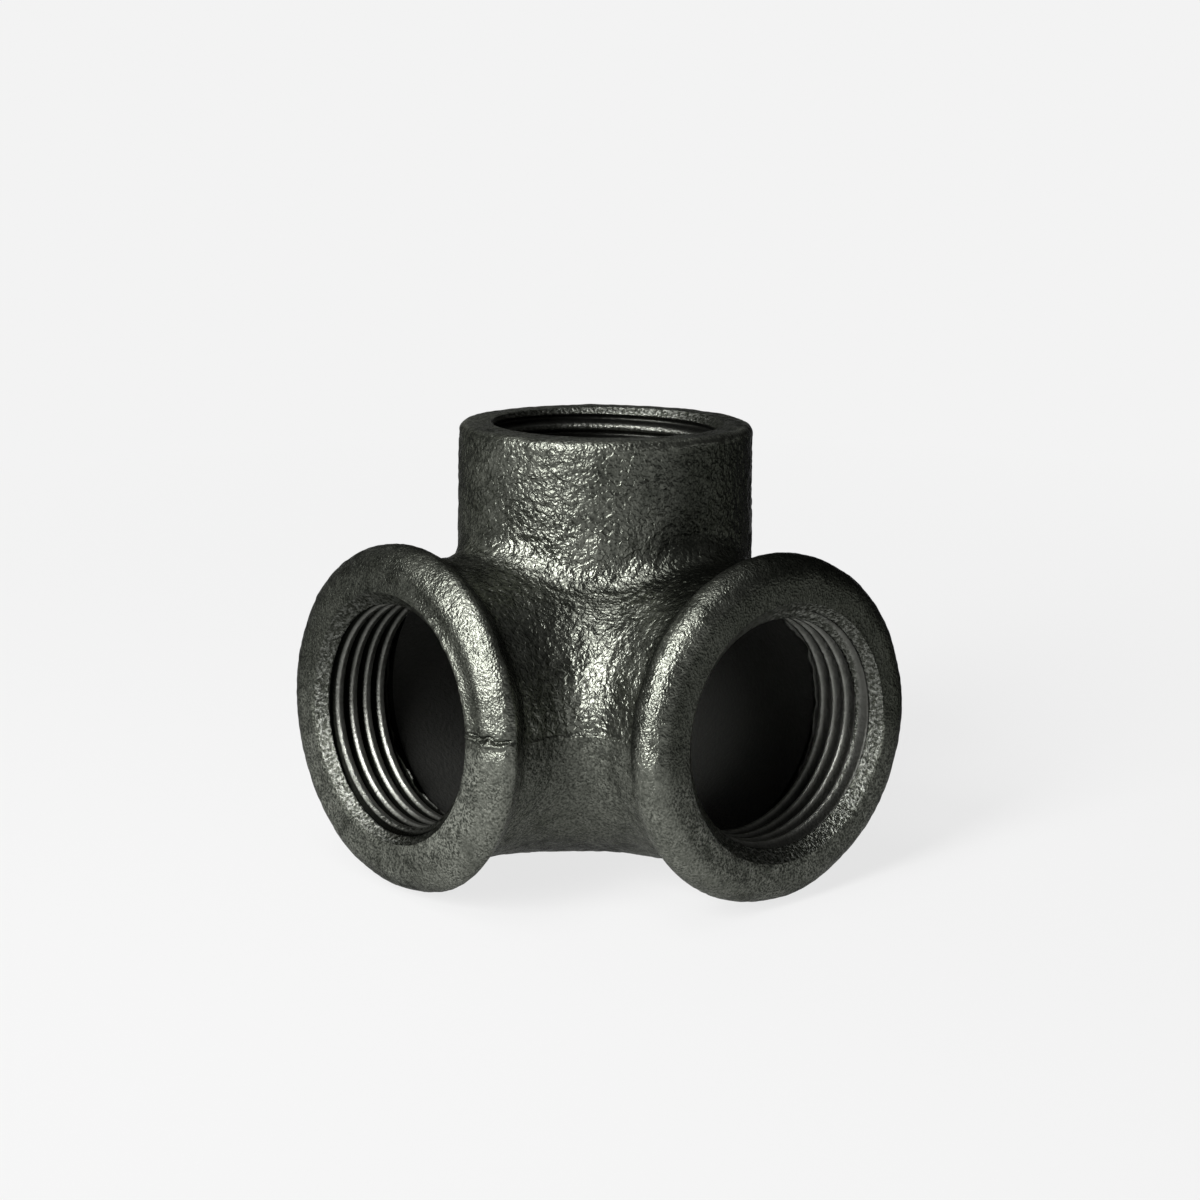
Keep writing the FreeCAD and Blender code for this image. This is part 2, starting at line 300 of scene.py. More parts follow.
def mouth_profile(leg):
    """Profile of a mouth from the edge of its face back to the plain tube, with normals."""
    if leg == "collar":
        top = (COLLAR_REACH - COLLAR_ROUND, COLLAR - COLLAR_ROUND)
        return np.concatenate([[(COLLAR_REACH, top[1], 1, 0)],
                               arc_points(top, COLLAR_ROUND, 0, 90, 7)])
    flank = np.degrees(np.arccos(1 - (BEAD - TUBE) / (BEAD_BACK + BEAD_ROOT)))
    crest = REACH - BEAD_FRONT
    root = crest - (BEAD_BACK + BEAD_ROOT) * np.sin(np.radians(flank))
    return np.concatenate([
        [(REACH, BEAD - BEAD_FRONT, 1, 0)],
        arc_points((crest, BEAD - BEAD_FRONT), BEAD_FRONT, 0, 90, 15),
        arc_points((crest, BEAD - BEAD_BACK), BEAD_BACK, 90, 90 + flank, 7),
        arc_points((root, TUBE + BEAD_ROOT), -BEAD_ROOT, flank - 90, -90, 7)])


def form_at(leg, along, radius):
    """The outer form at a distance along a leg and a radius, on every grid line."""
    points = to_uvw(leg, along, radius * np.cos(TURN[leg])[:, None],
                    radius * np.sin(TURN[leg])[:, None])
    return outer_form(*np.moveaxis(points, -1, 0))


def leg_grid(leg, rows):
    """Points and normals of one leg's outside, from the rim of its bore to the shared planes.

    The face is flat, so straight lines run from the bore's rim to the face's edge. The mouth is
    its profile turned round the axis. Behind it, each grid line is walked in equal steps to its
    last point, and the radius at each step is where the outer form crosses nought.
    """
    across = np.cos(TURN[leg])[:, None], np.sin(TURN[leg])[:, None]
    profile = mouth_profile(leg)
    lead = np.maximum(*across)
    reach = halve(lambda far: form_at(leg, far * lead, far), np.full((RINGS, 1), 5.0),
                  np.full((RINGS, 1), 45.0))
    along = profile[-1, 0] + (reach * lead - profile[-1, 0]) * np.linspace(0, 1, rows + 1)[1:]
    radius = halve(lambda far: form_at(leg, along, far), np.full_like(along, 1.0),
                   np.full_like(along, 40.0))
    body = to_uvw(leg, along, *(radius * part for part in across))
    mouth = to_uvw(leg, profile[:, 0], *(profile[:, 1] * part for part in across))
    mouth_normal = to_uvw(leg, profile[:, 2], *(profile[:, 3] * part for part in across))
    rim = MOUTHS[leg]
    share = np.arange(FACE_STEPS) / FACE_STEPS
    face = to_uvw(leg, rim["reach"], *(
        (offset + rim["radius"] * part) * (1 - share) + profile[0, 1] * part * share
        for offset, part in zip(rim["offset"], across)))
    face_normal = np.broadcast_to(mouth_normal[:, :1], face.shape)
    return (np.concatenate([face, mouth, body], 1),
            np.concatenate([face_normal, mouth_normal, slope(outer_form, body)], 1))


ROWS = {"right": 55, "left": 55, "collar": 74}      # behind the mouth's profile
legs = {leg: leg_grid(leg, rows) for leg, rows in ROWS.items()}
print("lines and points of each leg:", {leg: grid.shape[:2] for leg, (grid, _) in legs.items()})

# %% [markdown]
# ## Checking the outer form
# The CAD solid is a mesh of triangles, and the distance function gives nought at their corners
# wherever both agree. The mouths and the bores are left out, because the function stands for
# the plain elbow, collar and heel alone.

# %% How well the outer form follows the CAD solid
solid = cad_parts["corner_fitting"].data
corners = np.zeros(len(solid.vertices) * 3)
solid.vertices.foreach_get("co", corners)
corners = to_xyz(corners.reshape(-1, 3) / MM)
bore_distance = np.min([np.hypot(*np.delete(corners, axis, 1).T) for axis in range(3)], 0)
tested = corners[(np.linalg.norm(corners, axis=-1) > HEEL - 0.3) & (bore_distance > PASSAGE + 0.5)
                 & (corners[:, :2].max(-1) < 29) & (corners[:, 2] < COLLAR_REACH - 2)]
misses = outer_form(*tested.T)
print("outer form against the CAD solid, mm:", round(misses.min(), 2), "to", round(misses.max(), 2))

# %% [markdown]
# ## The skin left by the sand
# A sand mould leaves a skin of small winding wrinkles, about a millimetre apart, on broad soft
# unevenness. Noise made from a table of random slopes gives both: it is a function of the place
# in space alone, so two legs agree on their shared edge. Its heights push the points along
# their normals, as real relief.

# %% Noise
SLOPES = np.random.default_rng(11).normal(size=(64, 64, 64, 3))


def ripple(points, size, shift=0):
    """Smooth noise of about -1 to 1 whose bumps are as far apart as size, in millimetres.

    Each corner of a cubic lattice has a random slope. A point gets the heights of the eight
    slopes round it, mixed by a curve that is flat at the corners.
    """
    scaled = points / size + shift * 17.31
    cell = np.floor(scaled).astype(int)
    inside = scaled - cell
    fade = inside ** 3 * (inside * (inside * 6 - 15) + 10)
    total = 0
    for corner in itertools.product((0, 1), repeat=3):
        slopes = SLOPES[tuple(np.moveaxis((cell + corner) % 64, -1, 0))]
        share = np.prod(np.where(corner, fade, 1 - fade), -1)
        total = total + share * (slopes * (inside - corner)).sum(-1)
    return total


def blur_step(value, low, high):
    """0 below low, 1 above high, and a smooth curve between."""
    share = np.clip((value - low) / (high - low), 0, 1)
    return share * share * (3 - 2 * share)


# %% [markdown]
# ## The parting line and the mould's shift
# The mould was made in two halves that meet in the plane of the level sockets. Iron ran a little
# way into the gap and left a thin ridge there. The lower half lay a third of a millimetre nearer
# to the viewer, so there is a step along the ridge: sharp on the tubes and soft on the beads.

# %% Parting line and beads
LOWER_HALF_SHIFT = np.array([0.32, 0.30, 0])    # u, v, w
SHARP_STEP, SOFT_STEP = (-0.05, 0.2), (-1.8, 1.8)   # depths between which the step comes in
RIDGE, RIDGE_WIDTH = 0.16, 0.22                 # height of the parting line, and half its width
BEAD_START = (29.5, 33.0)                       # a tube turns into its bead between these


def bell(value, middle, width):
    """A bell curve: 1 at its middle, and about a third one width away."""
    return np.exp(-((value - middle) / width) ** 2)


def parting(points):
    """Height over the parting line, which wanders a little."""
    return points[..., 2] + 0.22 * ripple(points, 4.0, 8)


def bead_share(points, leg):
    """1 on a level socket's bead and 0 on its tube; the collar has no bead."""
    return 0.0 if leg == "collar" else blur_step(points[..., LEGS[leg][0]], *BEAD_START)


def bead_turn(points, leg):
    """How far a point is round a bead's rounding: 0 degrees on the face, 90 on the crest."""
    along, first, second = (points[..., axis] for axis in LEGS[leg])
    return np.degrees(np.arctan2(np.hypot(first, second) - (BEAD - BEAD_FRONT),
                                 along - (REACH - BEAD_FRONT)))


# %% [markdown]
# ## Flaws of the left bead
# The near side of the left bead is blunt. The flash broke off there and left a ragged crack, with
# lumps of iron below it, and the bore's edge has a rough lip. Each flaw is a height to add to the
# skin: a bell curve across it, made uneven by noise and faded out at its ends.

# %% Flaws of the left bead
SHOULDER, SHOULDER_TURN = 0.58, 84      # height of the blunt shoulder, and its degrees of turn
DIP, DIP_TURN = 0.22, 32                # depth of the hollow in front of it
CRACK_UP, CRACK_AT = 1.7, 18.6          # the crack's height over the parting line at this u
CRACK_FALL = 0.16                       # it falls by this for each millimetre of u
CRACK_DEPTH, CRACK_WIDTH = 0.62, 0.20
LUMPS, LUMPS_DOWN = 0.34, 0.48          # height of the lumps, and how far they lie below the crack
LIP, LIP_RADIUS = 0.44, 17.4
GUTTER, GUTTER_RADIUS = 0.10, 19.3      # the shallow hollow beside the lip


def blunt_shoulder(points):
    """The near side is nearly flat up to the crest, and drops off sharply behind."""
    near = blur_step(points[..., 0], 2, 14) * blur_step(points[..., 1], 32.0, 35.0)
    turn = bead_turn(points, "left")
    width = np.where(turn < SHOULDER_TURN, 24, 12)
    return near * (SHOULDER * bell(turn, SHOULDER_TURN, width) - DIP * bell(turn, DIP_TURN, 22))


def broken_flash(points, line):
    """A ragged crack across the bead, with lumps of iron pushed up below it."""
    near = (blur_step(points[..., 0], 16.8, 18.3) * blur_step(points[..., 1], 34.5, 36.0)
            * (1 - blur_step(bead_turn(points, "left"), 68, 88)))
    crack = (line - CRACK_UP + CRACK_FALL * (points[..., 0] - CRACK_AT)
             + 0.45 * ripple(points, 1.5, 13))
    lumps = LUMPS * (0.8 + 0.9 * ripple(points, 1.7, 17))
    return near * (lumps * bell(crack, -LUMPS_DOWN, 0.30)
                   - CRACK_DEPTH * bell(crack, 0, CRACK_WIDTH))


def rough_lip(points):
    """A rough lip round the upper near side of the bore, and a shallow hollow beside it."""
    offset = MOUTHS["left"]["offset"]
    radius = np.hypot(points[..., 0] - offset[0], points[..., 2] - offset[1])
    here = (blur_step(points[..., 0], 2, 9) * blur_step(points[..., 2], -0.3, 1.0)
            * blur_step(points[..., 1], REACH - 1.5, REACH - 0.5))
    grit = 1 + 0.55 * ripple(points, 0.9, 14)
    return here * (LIP * grit * bell(radius, LIP_RADIUS, 0.85)
                   - GUTTER * bell(radius, GUTTER_RADIUS, 0.8))


# %% [markdown]
# ## The relief of the skin
# All these heights are added up and push the points along their normals. The wrinkles are calmer
# on the beads, most of all on their faces, at the collar's edge and in the lower half. At the
# rim of a bore the relief fades out, so that the skin meets the cut thread in a clean edge.

# %% Relief of the skin
WRINKLE, WRINKLE_HEIGHT = 1.15, 0.10            # how far apart the wrinkles are, and how high
WEAVE, WEAVE_SHARE = 2.2, 0.4                   # noise that bends the wrinkles, and how far
SWELLS = ((12, 0.13, 6), (4.5, 0.06, 7))        # broad unevenness: size, height, noise shift


def calm_share(points, leg):
    """How much of the wrinkles is gone, 0 to 1."""
    if leg == "collar":
        return 0.6 * blur_step(points[..., 2], 36.0, 36.8)
    return bead_share(points, leg) * (0.75 - 0.35 * blur_step(bead_turn(points, leg), 5, 30))


def relief(points, leg):
    """Height of the skin over the smooth form, in millimetres.

    It is the sum of wrinkles, swells and the ridge of the parting line, and on the left leg of
    the flaws of its bead too.
    """
    weave = np.stack([ripple(points, WEAVE, shift) for shift in (1, 2, 3)], -1)
    wrinkles = np.tanh(1.6 * ripple(points + WEAVE_SHARE * weave, WRINKLE, 4))
    line = parting(points)
    under = blur_step(-line, -0.2, 0.6)
    height = WRINKLE_HEIGHT * (1 - calm_share(points, leg)) * (1 - 0.25 * under) * wrinkles
    for size, swell, shift in SWELLS:
        height = height + swell * ripple(points, size, shift)
    ridge = bell(line, 0, RIDGE_WIDTH) * (0.55 + 0.45 * ripple(points, 2.5, 9))
    height = height + RIDGE * np.clip(ridge, 0, 2) * (1 - 0.85 * bead_share(points, leg))
    if leg == "left":
        height = height + blunt_shoulder(points) + broken_flash(points, line) + rough_lip(points)
    return height


def cast_skin(leg):
    """A leg's grid with its relief and the mould's shift, both faded out at the bore's rim."""
    points, normals = legs[leg]
    fade = blur_step(np.arange(points.shape[1]), 0, 2)[None, :, None]
    moved = points + normals * relief(points, leg)[..., None] * fade
    line = parting(points)
    sharp, soft = blur_step(-line, *SHARP_STEP), blur_step(-line, *SOFT_STEP)
    step = sharp + (soft - sharp) * bead_share(points, leg)
    return moved + LOWER_HALF_SHIFT * step[..., None] * fade


skin = make_piece("cast_skin", [to_xyz(cast_skin(leg)) for leg in LEGS])

# %% [markdown]
# ## The threads
# Each mouth was cut on a lathe after casting: first a chamfer, then a standard pipe thread with
# 55 degree flanks. The wall of the hole is one surface whose radius depends on the angle and on
# the depth: wherever two cuts overlap, the wider one has taken the iron away, so the radius is
# the larger of the chamfer's, the thread's and the cored passage's. Grid lines follow the helix,
# which keeps the edges of the crests sharp.

# %% Threads
PITCH = 2.309                   # 11 threads to the inch
FLANK = np.radians(27.5)        # half of the thread's 55 degrees
GROOVE = 1.35                   # depth of the groove below the crests
CREST = {"right": 0.12, "left": 0.28, "collar": 0.12}     # half width of the flat crests
CREST_ROUND = 0.20              # how softly the crest turns into its flanks
THREAD_END = 11.0               # depth at which the thread breaks into the cored passage
CORE_STEP = 1.6                 # length of the cone there
OVERLAP = 0.8                   # how far a mouth's wall runs on into its passage
ROWS_A_TURN = 16
ROUND_BORE = 288
START = {"right": 0.26, "left": 0.14, "collar": 0.43}     # turns by which a thread is set round
HAND = {"right": -1, "left": 1, "collar": -1}           # makes each helix right-handed


def thread_radius(turns, crest):
    """Radius of the thread: worn crests, straight flanks, and a narrow root half a turn on."""
    beyond = np.maximum(np.abs((turns + 0.5) % 1 - 0.5) * PITCH - crest, 0)
    return BORE + np.minimum((np.hypot(beyond, CREST_ROUND) - CREST_ROUND) / np.tan(FLANK), GROOVE)


def mouth_grid(leg):
    """Wall of a mouth in u, v, w, by angle and by row along the helix.

    The edge where the thread breaks into the core is ragged.
    """
    mouth = MOUTHS[leg]
    angle = np.linspace(0, 2 * np.pi, ROUND_BORE + 1)[:, None]
    deepest = THREAD_END + CORE_STEP + OVERLAP
    rows = np.arange(int((deepest / PITCH + 2) * ROWS_A_TURN))[None, :]
    depth = np.clip((rows / ROWS_A_TURN - angle / (2 * np.pi)) * PITCH, 0, deepest)
    wall = np.stack(np.broadcast_arrays(BORE * np.cos(angle), BORE * np.sin(angle), depth), -1)
    ragged = 0.55 * ripple(wall, 4.0, 12) + 0.30 * ripple(wall, 1.2, 15)
    core = np.minimum(BORE + (depth - THREAD_END + ragged) * (PASSAGE - BORE) / CORE_STEP, PASSAGE)
    turns = depth / PITCH + angle / (2 * np.pi) + START[leg]
    radius = np.maximum(np.maximum(thread_radius(turns, CREST[leg]), mouth["radius"] - depth), core)
    return to_uvw(leg, mouth["reach"] - depth, mouth["offset"][0] + radius * np.cos(angle),
                  mouth["offset"][1] + HAND[leg] * radius * np.sin(angle))


threads = {leg: make_piece(f"{leg}_thread", [to_xyz(mouth_grid(leg))], inward=True, closed=False)
           for leg in LEGS}

# %% [markdown]
# ## The cored passages
# Behind the threads the casting is hollow where the sand core stood: three passages and a ball
# where they meet. They are made like the outside, leg by leg.

# %% Passages
PASSAGE_RINGS, PASSAGE_ROWS = 192, 24


def cored_form(u, v, w):
    """Distance to the passages: the nearest of three half cylinders and the ball."""
    ways = [np.where(along >= 0, np.hypot(a, b), np.inf) - PASSAGE
            for along, a, b in ((u, v, w), (v, u, w), (w, u, v))]
    ways.append(np.sqrt(u ** 2 + v ** 2 + w ** 2) - CHAMBER)
    return np.min(ways, 0)


def passage_grid(leg):
    """Grid of one passage, from the thread's end back to the planes that it shares."""
    turn = np.radians(45) + 2 * np.pi * np.arange(PASSAGE_RINGS) / PASSAGE_RINGS
    across = np.cos(turn)[:, None], np.sin(turn)[:, None]
    lead = np.maximum(*across)

    def form(along, radius):
        points = to_uvw(leg, along, radius * across[0], radius * across[1])
        return cored_form(*np.moveaxis(points, -1, 0))

    start = MOUTHS[leg]["reach"] - THREAD_END - CORE_STEP - OVERLAP / 2
    reach = halve(lambda far: form(far * lead, far), np.full_like(lead, 1.0),
                  np.full_like(lead, 40.0))
    along = start + (reach * lead - start) * np.linspace(0, 1, PASSAGE_ROWS)[None, :]
    radius = halve(lambda far: form(along, far), np.full_like(along, 1.0),
                   np.full_like(along, 30.0))
    return to_uvw(leg, along, radius * across[0], radius * across[1])


passages = make_piece("cored_passages", [to_xyz(passage_grid(leg)) for leg in LEGS], inward=True)

# %% [markdown]
# ## Materials
# The fitting is black malleable iron: cast white, then baked for days, which leaves a skin of
# dark iron oxide. It is dipped in a thin oil, so it shines where light strikes it and stays
# nearly black elsewhere. Its glints have the iron's own dark grey, so it is made as a dark
# metal, and less of one where dust lies on it. The threads are bare cut iron. Colours are
# written as sRGB and turned to linear once.


# %% Colour and node helpers
def linear(code):
    """An sRGB hex colour as linear red, green, blue and alpha."""
    parts = np.array([int(code[place:place + 2], 16) for place in (1, 3, 5)]) / 255
    parts = np.where(parts <= 0.04045, parts / 12.92, ((parts + 0.055) / 1.055) ** 2.4)
    return (*parts.tolist(), 1.0)


def grey(value):
    """A grey of this much linear light."""
    return (value, value, value, 1)


def add_node(tree, kind, inputs=None, **settings):
    """A node with its settings; each input gets a value, or a link from another node's socket."""
    node = tree.nodes.new(kind)
    for name, value in settings.items():
        setattr(node, name, value)
    for name, value in (inputs or {}).items():
        if isinstance(value, bpy.types.NodeSocket):
            tree.links.new(value, node.inputs[name])
        else:
            node.inputs[name].default_value = value
    return node


def new_material(name):
    """An empty node material and its tree."""
    material = bpy.data.materials.new(name)
    material.use_nodes = True
    material.node_tree.nodes.clear()
    return material, material.node_tree


def noise_at(tree, coordinates, millimetres, detail=2.0, roughness=0.5, distortion=0.0):
    """Noise whose bumps are this far apart, as a value from 0 to 1."""
    return add_node(tree, "ShaderNodeTexNoise", {
        "Vector": coordinates, "Scale": 1 / (millimetres * MM), "Detail": detail,
        "Roughness": roughness, "Distortion": distortion}).outputs["Fac"]


def spread(tree, value, low, high, to_low=0.0, to_high=1.0):
    """A value's range from low to high stretched to another range."""
    return add_node(tree, "ShaderNodeMapRange", {
        "Value": value, "From Min": low, "From Max": high,
        "To Min": to_low, "To Max": to_high}).outputs["Result"]


def mixed(tree, share, first, second):
    """Two colours mixed by a share."""
    node = add_node(tree, "ShaderNodeMix", data_type="RGBA")
    for socket, value in ((node.inputs["Factor"], share), (node.inputs[6], first),
                          (node.inputs[7], second)):
        if isinstance(value, bpy.types.NodeSocket):
            tree.links.new(value, socket)
        else:
            socket.default_value = value
    return node.outputs[2]


# %% [markdown]
# ## The three finishes
# The mesh carries wrinkles of about a millimetre. Finer ones and the grain of the sand are bump,
# each written with its real size. Values painted on the points tell a finish where dust lies, where
# painted shade darkens it, how much of the wrinkles is left and where the tool has torn the iron.

# %% Black malleable iron, as cast and oiled
FINE_WRINKLE = 0.56     # millimetres between wrinkles too small for the mesh
SAND_GRAIN = 0.30       # grain of the moulding sand
OIL_PATCH = 5.0         # patches of thicker and thinner oil


def combined(tree, operation, first, second):
    """Two values put together by one sum or product."""
    return add_node(tree, "ShaderNodeMath", {0: first, 1: second}, operation=operation).outputs[0]


def painted(tree, name):
    """A value painted on the points of the mesh."""
    return add_node(tree, "ShaderNodeAttribute", attribute_name=name).outputs["Fac"]


def oiled_cast_iron():
    """Dark oxide under a film of oil: near black, with wet-looking glints on the wrinkles.

    The bump is fine wrinkles where they are left, and sand grain where they are not. The oily
    parts are a dark metal with a satin shine; dusty parts are duller, paler and less metallic.
    """
    material, tree = new_material("oiled_black_malleable_iron")
    place = add_node(tree, "ShaderNodeTexCoord").outputs["Object"]
    dust, painted_shade, wrinkled = (painted(tree, name) for name in ("dust", "painted_shade", "wrinkled"))
    wrinkle = noise_at(tree, place, FINE_WRINKLE, 1.0, 0.5, 0.5)
    grain = noise_at(tree, place, SAND_GRAIN, 1.0)
    patches = noise_at(tree, place, OIL_PATCH, 3.0, 0.6)
    height = combined(tree, "ADD", combined(tree, "MULTIPLY", wrinkle, wrinkled),
                      combined(tree, "MULTIPLY", grain, spread(tree, wrinkled, 1, 0, 0.08, 0.85)))
    bump = add_node(tree, "ShaderNodeBump", {
        "Strength": 1.0, "Distance": 0.25 * MM, "Height": height})
    oily = mixed(tree, spread(tree, combined(tree, "ADD", wrinkle, patches), 0.75, 1.25),
                 linear("#4b4d47"), linear("#74766e"))
    grainy = spread(tree, grain, 0.35, 0.65)
    # painted shade: a darker, duller colour, mixed in where the lamps give little light
    painted_shade_colour = mixed(tree, grainy, linear("#1b1d19"), linear("#393b35"))
    dusty = mixed(tree, grainy, linear("#2c2e29"), linear("#72746c"))
    shader = add_node(tree, "ShaderNodeBsdfPrincipled", {
        "Base Color": mixed(tree, dust, mixed(tree, painted_shade, oily, painted_shade_colour), dusty),
        "Roughness": combined(tree, "ADD", spread(tree, patches, 0.3, 0.7, 0.28, 0.36),
                              spread(tree, dust, 0, 1, 0, 0.25)),
        "Metallic": spread(tree, dust, 0, 1, 0.95, 0.35), "Specular Tint": (0, 0, 0, 1),
        "Normal": bump.outputs["Normal"]})
    add_node(tree, "ShaderNodeOutputMaterial", {"Surface": shader.outputs[0]})
    return material


# %% Cut iron
TORN_GRAIN = 0.45       # grain that the tool tore on the chamfers
WEAR_PATCH = 2.0        # patches of brighter and duller crests


def cut_iron():
    """Bare cut iron: bright flat crests, grooves made near black by painted shade, and grainy
    chamfers.
    """
    material, tree = new_material("cut_iron")
    place = add_node(tree, "ShaderNodeTexCoord").outputs["Object"]
    groove, rough_cut = painted(tree, "groove"), painted(tree, "chamfer")
    grain = noise_at(tree, place, TORN_GRAIN, 3.0, 0.6)
    bump = add_node(tree, "ShaderNodeBump", {
        "Strength": spread(tree, rough_cut, 0, 1, 0.25, 0.7), "Distance": 0.5 * MM,
        "Height": grain})
    crest = mixed(tree, spread(tree, noise_at(tree, place, WEAR_PATCH, 3.0), 0.3, 0.7),
                  linear("#9b9c95"), linear("#b8b9b2"))
    torn = mixed(tree, spread(tree, grain, 0.44, 0.64), linear("#4c4e47"), linear("#9a9c95"))
    shader = add_node(tree, "ShaderNodeBsdfPrincipled", {
        # painted shade: near black in the grooves, and darker on the crests
        "Base Color": mixed(tree, groove, mixed(tree, rough_cut, crest, torn), linear("#141512")),
        "Roughness": spread(tree, rough_cut, 0, 1, 0.44, 0.32),
        "Metallic": 1.0, "Specular Tint": (0.3, 0.3, 0.3, 1), "Normal": bump.outputs["Normal"]})
    add_node(tree, "ShaderNodeOutputMaterial", {"Surface": shader.outputs[0]})
    return material


# %% Iron cast against the core
CORE_SAND = 0.6         # the core's sand is coarser than the mould's


def core_sand_skin():
    """Iron cast against the sand core: rough, dull and almost black."""
    material, tree = new_material("cored_iron")
    place = add_node(tree, "ShaderNodeTexCoord").outputs["Object"]
    sand = noise_at(tree, place, CORE_SAND, 3.0, 0.6)
    bump = add_node(tree, "ShaderNodeBump", {
        "Strength": 1.0, "Distance": 0.2 * MM, "Height": sand})
    shader = add_node(tree, "ShaderNodeBsdfPrincipled", {
        "Base Color": mixed(tree, sand, linear("#171815"), linear("#23231f")),
        "Roughness": 0.8, "Metallic": 0.0, "Normal": bump.outputs["Normal"]})
    add_node(tree, "ShaderNodeOutputMaterial", {"Surface": shader.outputs[0]})
    return material


# %% [markdown]
# ## Where dust, painted shade and wear lie
# The lower half and the right bead are dusty. Painted shade darkens the right side, the upper
# collar, the lower half and the faces of the beads. The beads' near crests and the collar's edge
# are rubbed, so they shine, and the painted shade is left off them and off the hollow at the
# collar's foot.
# Each value is worked out from the places of the skin's points, 0 for none and 1 for all, and is
# stored on the mesh for the finish to read.


# %% Places on the skin
def mesh_points(piece):
    """All points of a piece's mesh as u, v, w in millimetres."""
    flat = np.zeros(len(piece.data.vertices) * 3)
    piece.data.vertices.foreach_get("co", flat)
    return to_xyz(flat.reshape(-1, 3) / MM)


def paint(piece, name, values):
    """A value for each point of a piece, which a material reads by name."""
    piece.data.attributes.new(name, "FLOAT", "POINT").data.foreach_set("value", values)


spots = mesh_points(skin)
u, v, w = spots.T
on_right, on_left = blur_step(u, 30.5, 32.5), blur_step(v, 30.5, 32.5)
on_bead = on_right + on_left
under = blur_step(-parting(spots), -0.2, 0.8)       # the lower half, from the parting line on
below = blur_step(-parting(spots), -1.5, 3.5)       # the lower half, coming in more slowly
turned = on_right * bead_turn(spots, "right") + on_left * bead_turn(spots, "left")
crest = on_bead * blur_step(turned, 8, 28) * (1 - blur_step(turned, 85, 115)) * (
    on_right * blur_step(v, 2, 12) + on_left * blur_step(u, 2, 12))
lip = (on_left * blur_step(u, 2, 9) * blur_step(w, -0.3, 1)
       * blur_step(-np.hypot(u, w), -19.5, -18.5))
crest = np.maximum(crest, 0.8 * lip)                # the beads' near crests and the rough lip
collar_edge = blur_step(w, 36.0, 36.5) * blur_step(np.hypot(u, v), 18.9, 19.4)
worn = np.maximum(crest, 0.8 * collar_edge)
foot = np.exp(-(level_elbow(u, v, w) ** 2 + np.minimum(collar_cone(u, v, w), 99) ** 2) / 6)
print("points of the skin:", len(spots), "of which on a rubbed crest:", int((crest > 0.5).sum()))

# %% Dust, painted shade and what is left of the wrinkles
blotches = 1 + 0.5 * ripple(spots, 3.0, 16) + 0.6 * ripple(spots, 1.3, 18)
dust = (0.45 * under * (1 - on_bead) + 0.28 * blur_step(w, 36.9, 37.25)
        + on_right * (0.66 * blur_step(-w, -2, 12) + 0.10 * blur_step(v, -5, 15))
        + on_left * (0.16 + 0.36 * blur_step(-w, -8, 12) + 0.35 * blur_step(u, 5, 15) * below))
dust = np.clip(dust * (1 - 0.9 * crest * (1 - 0.75 * below)) * blotches, 0, 1)
# Painted shade: a darker, duller colour on the right side, the upper collar, the lower half and the
# beads' faces. It is left off the rubbed places and the hollow at the collar's foot, where the
# highlights fall.
painted_shade = np.maximum(0.9 * blur_step(u - v, 9, 19) * (1 - 0.6 * foot), 0.3 * blur_step(w, 22, 28))
painted_shade = np.maximum(painted_shade * (1 - worn), 0.55 * under)
painted_shade = painted_shade * (1 - on_bead) + 0.8 * on_bead * (1 - crest)
wrinkled = (1 - 0.3 * under * (1 - on_bead)) * (1 - on_bead * (0.8 - 0.3 * crest)) * (
    1 - 0.5 * worn * (1 - on_bead))
for name, values in (("dust", dust), ("painted_shade", painted_shade), ("wrinkled", wrinkled)):
    paint(skin, name, values)
    print(name, "on average:", round(float(values.mean()), 2))

# %% Painted shade in the threads, and the finishes on their pieces
# How much painted shade lies on a thread's crests and in its grooves, and how grainy its crests are
PAINTED_THREAD_SHADE = {"right": (0.38, 0.80, 0.15), "left": (0.58, 1.0, 0.1), "collar": (0.50, 0.90, 0.8)}
skin.data.materials.append(oiled_cast_iron())
cut = cut_iron()
passages.data.materials.append(core_sand_skin())
for leg, thread in threads.items():
    thread.data.materials.append(cut)
    points = np.moveaxis(mesh_points(thread), -1, 0)
    along, first, second = (points[axis] for axis in LEGS[leg])
    offset = MOUTHS[leg]["offset"]
    radius = np.hypot(first - offset[0], second - offset[1])
    cone = MOUTHS[leg]["radius"] - MOUTHS[leg]["reach"] + along
    groove = blur_step(radius - np.maximum(cone, BORE), 0.15, 0.4)
    low = blur_step(-first, -3, 10) * blur_step(-second, 0, 8)      # far side, low down: less of the painted shade
    on_crests, in_grooves, grainy = PAINTED_THREAD_SHADE[leg]
    on_crests = on_crests * (1 - low)
    paint(thread, "groove", on_crests + (in_grooves - on_crests) * groove)
    paint(thread, "chamfer", np.maximum(blur_step(cone - BORE, -0.9, -0.3), grainy) * (1 - groove))
for piece in (skin, passages, *threads.values()):
    print(piece.name, "is of", piece.data.materials[0].name)

# %% [markdown]
# ## Floor, world and lamps
# The fitting rests on two beads and its heel, so the floor is the plane that touches all three.
# The floor and the low part of the surroundings are pale, and the room above is dim, as in a
# small studio with a white table. Three soft lamps light it: the key to the upper left of the
# camera, a weak one far round to the left, and a small one high above.

# %% Floor
def floor_normal():
    """Normal of the plane under both beads and the heel, found by repeating one equation.

    The plane leans by an angle at which a bead's lowest reach equals the heel's radius.
    """
    lean = 0.0
    for _ in range(20):
        upright = np.sqrt(1 - 2 * lean ** 2)
        lean = ((BEAD - BEAD_FRONT) * np.hypot(lean, upright) + BEAD_FRONT - HEEL) / (
            REACH - BEAD_FRONT)
    return np.array([lean, -lean, upright])


